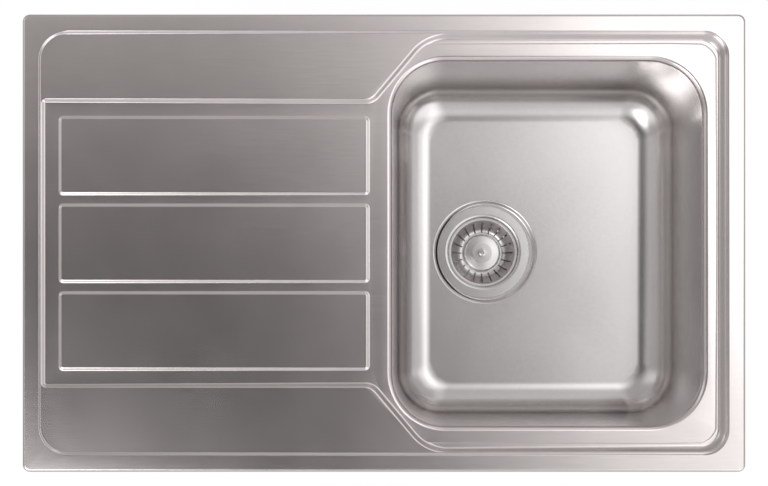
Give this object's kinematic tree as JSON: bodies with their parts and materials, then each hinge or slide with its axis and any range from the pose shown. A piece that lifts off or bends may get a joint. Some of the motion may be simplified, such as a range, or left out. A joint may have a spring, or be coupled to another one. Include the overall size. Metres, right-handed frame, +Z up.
{
  "type": "kitchen sink with drainboard",
  "caption": "Inset stainless kitchen sink with a deep rectangular bowl, sloping panelled drainboard, lift-out basket strainer, waste body and turn-out clamps under the rim.",
  "frame": {"origin": "centre of the outline, on the worktop's top face, in the middle of the worktop cut-out", "axes": "+X from the drainboard to the bowl, +Y to the back of the worktop, +Z up"},
  "size_m": [0.79, 0.5, 0.237],
  "materials": {
    "satin_steel": "fine satin grain along the sink",
    "polished_steel": "polished with a light haze",
    "plain_steel": "mill finish",
    "zinc_steel": "zinc plated",
    "brass_insert": "turned",
    "black_rubber": "matt",
    "grey_foam": "closed-cell foam",
    "damping_sheet": "matt damping sheet",
    "black_plastic": "moulded, light grain"
  },
  "bodies": {
    "sink": {"drainboard_deck": "satin_steel", "bowl": "satin_steel", "rim_seal": "grey_foam", "drainer_sound_pad": "damping_sheet", "bowl_sound_pad": "damping_sheet", "earth_tag": "plain_steel", "strainer_cup": "polished_steel", "flange_seal": "black_rubber", "under_gasket": "black_rubber", "waste_body": "black_plastic", "threaded_insert": "brass_insert", "centre_screw": "polished_steel", "clamp_lugs": "zinc_steel", "weld_nuts": "zinc_steel"},
    "basket": {"strainer_basket": "polished_steel", "basket_stem": "polished_steel", "stem_washer": "polished_steel", "basket_stopper": "black_rubber"},
    "clamp_1": {"clamp_screw_1": "zinc_steel", "clamp_washer_1": "zinc_steel"},
    "jaw_1": {"clamp_jaw_1": "zinc_steel"},
    "clamp_2": {"clamp_screw_2": "zinc_steel", "clamp_washer_2": "zinc_steel"},
    "jaw_2": {"clamp_jaw_2": "zinc_steel"},
    "clamp_3": {"clamp_screw_3": "zinc_steel", "clamp_washer_3": "zinc_steel"},
    "jaw_3": {"clamp_jaw_3": "zinc_steel"},
    "clamp_4": {"clamp_screw_4": "zinc_steel", "clamp_washer_4": "zinc_steel"},
    "jaw_4": {"clamp_jaw_4": "zinc_steel"},
    "clamp_5": {"clamp_screw_5": "zinc_steel", "clamp_washer_5": "zinc_steel"},
    "jaw_5": {"clamp_jaw_5": "zinc_steel"},
    "clamp_6": {"clamp_screw_6": "zinc_steel", "clamp_washer_6": "zinc_steel"},
    "jaw_6": {"clamp_jaw_6": "zinc_steel"},
    "clamp_7": {"clamp_screw_7": "zinc_steel", "clamp_washer_7": "zinc_steel"},
    "jaw_7": {"clamp_jaw_7": "zinc_steel"},
    "clamp_8": {"clamp_screw_8": "zinc_steel", "clamp_washer_8": "zinc_steel"},
    "jaw_8": {"clamp_jaw_8": "zinc_steel"}
  },
  "joints": [
    {"name": "basket_lift", "type": "slide", "parent": "sink", "child": "basket", "axis": [0, 0, 1], "range_m": [0, 0.2]},
    {"name": "clamp_turn_in_1", "type": "slide", "parent": "sink", "child": "clamp_1", "axis": [0, 0, 1], "range_m": [0, 0.02]},
    {"name": "jaw_swing_1", "type": "hinge", "parent": "clamp_1", "child": "jaw_1", "pos_m": [-0.31, -0.2121, -0.055], "axis": [0, 0, 1], "range_deg": [0, 90]},
    {"name": "clamp_turn_in_2", "type": "slide", "parent": "sink", "child": "clamp_2", "axis": [0, 0, 1], "range_m": [0, 0.02]},
    {"name": "jaw_swing_2", "type": "hinge", "parent": "clamp_2", "child": "jaw_2", "pos_m": [-0.08, -0.2121, -0.055], "axis": [0, 0, 1], "range_deg": [0, 90]},
    {"name": "clamp_turn_in_3", "type": "slide", "parent": "sink", "child": "clamp_3", "axis": [0, 0, 1], "range_m": [0, 0.02]},
    {"name": "jaw_swing_3", "type": "hinge", "parent": "clamp_3", "child": "jaw_3", "pos_m": [0.2, -0.2121, -0.055], "axis": [0, 0, 1], "range_deg": [0, 90]},
    {"name": "clamp_turn_in_4", "type": "slide", "parent": "sink", "child": "clamp_4", "axis": [0, 0, 1], "range_m": [0, 0.02]},
    {"name": "jaw_swing_4", "type": "hinge", "parent": "clamp_4", "child": "jaw_4", "pos_m": [-0.31, 0.2121, -0.055], "axis": [0, 0, 1], "range_deg": [0, 90]},
    {"name": "clamp_turn_in_5", "type": "slide", "parent": "sink", "child": "clamp_5", "axis": [0, 0, 1], "range_m": [0, 0.02]},
    {"name": "jaw_swing_5", "type": "hinge", "parent": "clamp_5", "child": "jaw_5", "pos_m": [-0.08, 0.2121, -0.055], "axis": [0, 0, 1], "range_deg": [0, 90]},
    {"name": "clamp_turn_in_6", "type": "slide", "parent": "sink", "child": "clamp_6", "axis": [0, 0, 1], "range_m": [0, 0.02]},
    {"name": "jaw_swing_6", "type": "hinge", "parent": "clamp_6", "child": "jaw_6", "pos_m": [0.2, 0.2121, -0.055], "axis": [0, 0, 1], "range_deg": [0, 90]},
    {"name": "clamp_turn_in_7", "type": "slide", "parent": "sink", "child": "clamp_7", "axis": [0, 0, 1], "range_m": [0, 0.02]},
    {"name": "jaw_swing_7", "type": "hinge", "parent": "clamp_7", "child": "jaw_7", "pos_m": [-0.36365, 0, -0.055], "axis": [0, 0, 1], "range_deg": [0, 90]},
    {"name": "clamp_turn_in_8", "type": "slide", "parent": "sink", "child": "clamp_8", "axis": [0, 0, 1], "range_m": [0, 0.02]},
    {"name": "jaw_swing_8", "type": "hinge", "parent": "clamp_8", "child": "jaw_8", "pos_m": [0.35975, 0, -0.055], "axis": [0, 0, 1], "range_deg": [0, 90]}
  ]
}
